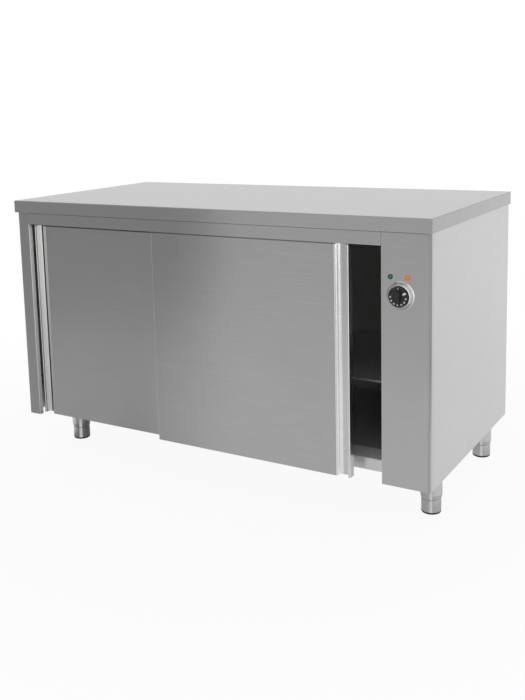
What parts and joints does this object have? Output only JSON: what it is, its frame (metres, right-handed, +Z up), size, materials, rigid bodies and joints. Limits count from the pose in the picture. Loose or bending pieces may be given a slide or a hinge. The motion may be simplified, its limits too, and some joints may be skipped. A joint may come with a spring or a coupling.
{
  "type": "hot cupboard",
  "caption": "Stainless catering hot cupboard: flat worktop over an insulated fan-heated chamber with roller-hung sliding doors, folded finger grips, a dial control panel and screw feet.",
  "frame": {"origin": "floor level under the centre of the worktop", "axes": "+X to the user's right along the width, +Y from the door front to the back, +Z up"},
  "size_m": [1.4, 0.7277, 0.843],
  "materials": {
    "worktop_steel": "satin",
    "body_steel": "satin",
    "door_steel": "satin",
    "chamber_steel": "satin",
    "zinc_steel": "zinc coated",
    "track_aluminium": "extruded",
    "insulation": "mineral wool",
    "nylon": "moulded",
    "rubber": "matt",
    "black_plastic": "fine moulded",
    "bezel_chrome": "polished",
    "lens_green": "translucent",
    "lens_orange": "translucent",
    "motor_metal": "cast",
    "heater_tube": "heat darkened",
    "pale_plastic": "moulded",
    "leg_steel": "satin"
  },
  "bodies": {
    "cabinet": {"worktop": "worktop_steel", "worktop_stiffeners": "zinc_steel", "left_side_panel": "body_steel", "right_side_panel": "body_steel", "control_panel": "body_steel", "back_panel": "body_steel", "base_pan": "zinc_steel", "front_fascia": "body_steel", "bottom_rail": "body_steel", "upper_track": "track_aluminium", "inner_ceiling": "chamber_steel", "inner_floor": "chamber_steel", "inner_left_wall": "chamber_steel", "inner_right_wall": "chamber_steel", "inner_back_wall": "chamber_steel", "partition": "zinc_steel", "insulation_left": "insulation", "insulation_right": "insulation", "insulation_back": "insulation", "insulation_base": "insulation", "insulation_top": "insulation", "shelf_support_left": "chamber_steel", "shelf_support_right": "chamber_steel", "door_guide": "nylon", "door_buffers": "rubber", "knob_bezel": "bezel_chrome", "thermostat": "pale_plastic", "lamp_green": "lens_green", "lamp_orange": "lens_orange", "fan_motor": "motor_metal", "fan_cover": "chamber_steel", "heating_element": "heater_tube", "terminal_block": "pale_plastic", "cable_gland": "black_plastic", "leg_front_left": "leg_steel", "leg_front_right": "leg_steel", "leg_rear_left": "leg_steel", "leg_rear_right": "leg_steel"},
    "right_door": {"right_door_skin": "door_steel", "right_door_liner": "chamber_steel", "right_door_core": "insulation", "right_door_hangers": "zinc_steel"},
    "left_door": {"left_door_skin": "door_steel", "left_door_liner": "chamber_steel", "left_door_core": "insulation", "left_door_hangers": "zinc_steel"},
    "right_roller_a": {"right_roller_a": "nylon"},
    "right_roller_b": {"right_roller_b": "nylon"},
    "left_roller_a": {"left_roller_a": "nylon"},
    "left_roller_b": {"left_roller_b": "nylon"},
    "shelf": {"shelf": "chamber_steel"},
    "knob": {"thermostat_knob": "black_plastic"},
    "fan": {"fan_impeller": "track_aluminium"},
    "foot_front_left": {"foot_front_left": "leg_steel"},
    "foot_front_right": {"foot_front_right": "leg_steel"},
    "foot_rear_left": {"foot_rear_left": "leg_steel"},
    "foot_rear_right": {"foot_rear_right": "leg_steel"}
  },
  "joints": [
    {"name": "right_door_slide", "type": "slide", "parent": "cabinet", "child": "right_door", "axis": [1, 0, 0], "range_m": [-0.48, 0.091]},
    {"name": "left_door_slide", "type": "slide", "parent": "cabinet", "child": "left_door", "axis": [1, 0, 0], "range_m": [0, 0.59]},
    {"name": "right_roller_a_spin", "type": "hinge", "parent": "right_door", "child": "right_roller_a", "pos_m": [-0.11, -0.3215, 0.7943], "axis": [0, 1, 0], "range_deg": [-3100, 600]},
    {"name": "right_roller_b_spin", "type": "hinge", "parent": "right_door", "child": "right_roller_b", "pos_m": [0.407, -0.3215, 0.7943], "axis": [0, 1, 0], "range_deg": [-3100, 600]},
    {"name": "left_roller_a_spin", "type": "hinge", "parent": "left_door", "child": "left_roller_a", "pos_m": [-0.609, -0.2895, 0.7943], "axis": [0, 1, 0], "range_deg": [-20, 3800]},
    {"name": "left_roller_b_spin", "type": "hinge", "parent": "left_door", "child": "left_roller_b", "pos_m": [-0.092, -0.2895, 0.7943], "axis": [0, 1, 0], "range_deg": [-20, 3800]},
    {"name": "shelf_lift", "type": "slide", "parent": "cabinet", "child": "shelf", "axis": [0, 0, 1], "range_m": [0, 0.06]},
    {"name": "knob_turn", "type": "hinge", "parent": "cabinet", "child": "knob", "pos_m": [0.613, -0.34, 0.6415], "axis": [0, 1, 0], "range_deg": [0, 270]},
    {"name": "fan_spin", "type": "hinge", "parent": "cabinet", "child": "fan", "pos_m": [0.519, 0.015, 0.583], "axis": [1, 0, 0], "continuous": true},
    {"name": "foot_front_left_screw", "type": "slide", "parent": "cabinet", "child": "foot_front_left", "axis": [0, 0, -1], "range_m": [0, 0.035]},
    {"name": "foot_front_right_screw", "type": "slide", "parent": "cabinet", "child": "foot_front_right", "axis": [0, 0, -1], "range_m": [0, 0.035]},
    {"name": "foot_rear_left_screw", "type": "slide", "parent": "cabinet", "child": "foot_rear_left", "axis": [0, 0, -1], "range_m": [0, 0.035]},
    {"name": "foot_rear_right_screw", "type": "slide", "parent": "cabinet", "child": "foot_rear_right", "axis": [0, 0, -1], "range_m": [0, 0.035]}
  ],
  "couplings": [
    {"joint": "right_roller_a_spin", "follows": "right_door_slide", "rad_per_m": 111.11},
    {"joint": "right_roller_b_spin", "follows": "right_door_slide", "rad_per_m": 111.11},
    {"joint": "left_roller_a_spin", "follows": "left_door_slide", "rad_per_m": 111.11},
    {"joint": "left_roller_b_spin", "follows": "left_door_slide", "rad_per_m": 111.11}
  ]
}
